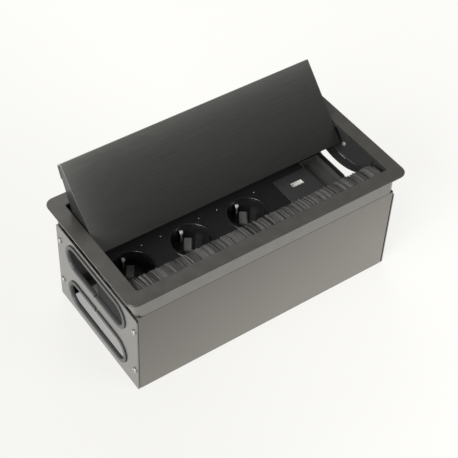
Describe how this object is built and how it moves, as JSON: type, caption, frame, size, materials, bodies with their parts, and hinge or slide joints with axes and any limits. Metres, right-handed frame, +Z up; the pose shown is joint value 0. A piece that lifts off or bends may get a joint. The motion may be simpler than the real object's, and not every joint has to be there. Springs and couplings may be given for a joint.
{
  "type": "in-desk power module",
  "caption": "Dark steel in-desk power box with a lift-up brushed lid, a cable brush, earthed sockets, a USB charger and rubber-edged cable ovals in both ends.",
  "frame": {"origin": "middle of the base, on the surface that the box stands on", "axes": "+X along the long side, +Y from the brush side to the side where the lid stands up, +Z up"},
  "size_m": [0.3, 0.1492, 0.1669],
  "materials": {
    "frame_paint": "dark grey satin paint",
    "housing_paint": "dark grey satin paint, lit by the room",
    "guide_paint": "black satin paint",
    "carrier_paint": "black semi-gloss paint",
    "brushed_lid": "black anodised, brushed along its length",
    "rubber": "matt extruded rubber",
    "bright_steel": "bright plated steel",
    "black_plastic": "black gloss moulding",
    "grey_plastic": "fine matt moulding",
    "cover_plastic": "matt moulding",
    "white_plastic": "white moulding",
    "bristle": "nylon bristles",
    "brass": "plain"
  },
  "bodies": {
    "box": {"top_frame": "frame_paint", "front_plate": "housing_paint", "back_plate": "housing_paint", "end_plate_left": "housing_paint", "end_plate_right": "housing_paint", "oval_edging_left_upper": "rubber", "oval_edging_left_lower": "rubber", "oval_edging_right_upper": "rubber", "oval_edging_right_lower": "rubber", "end_screw_left_1": "bright_steel", "end_screw_left_2": "bright_steel", "end_screw_left_3": "bright_steel", "end_screw_left_4": "bright_steel", "end_screw_right_1": "bright_steel", "end_screw_right_2": "bright_steel", "end_screw_right_3": "bright_steel", "end_screw_right_4": "bright_steel", "lid_guide_left": "guide_paint", "lid_guide_right": "guide_paint", "guide_screw_left": "bright_steel", "guide_screw_right": "bright_steel", "brush_bristles": "bristle", "brush_clamp_bar": "guide_paint", "carrier_plate": "carrier_paint", "socket_insert_1": "black_plastic", "socket_insert_2": "black_plastic", "socket_insert_3": "black_plastic", "earth_clip_1": "bright_steel", "earth_clip_2": "bright_steel", "earth_clip_3": "bright_steel", "line_sleeve_1": "brass", "line_sleeve_2": "brass", "line_sleeve_3": "brass", "neutral_sleeve_1": "brass", "neutral_sleeve_2": "brass", "neutral_sleeve_3": "brass", "line_bar": "brass", "neutral_bar": "brass", "earth_bar": "brass", "socket_cover": "cover_plastic", "terminal_block": "white_plastic", "inlet_bush": "rubber", "usb_module": "grey_plastic", "usb_port_shell": "bright_steel", "usb_tongue": "white_plastic", "blank_module": "grey_plastic"},
    "lid": {"lid_panel": "brushed_lid", "lid_cheek_left": "guide_paint", "lid_cheek_right": "guide_paint"}
  },
  "joints": [
    {"name": "lid_turn", "type": "hinge", "parent": "box", "child": "lid", "pos_m": [0, 0.0043, 0.1593], "axis": [1, 0, 0], "range_deg": [-45, 0]}
  ]
}
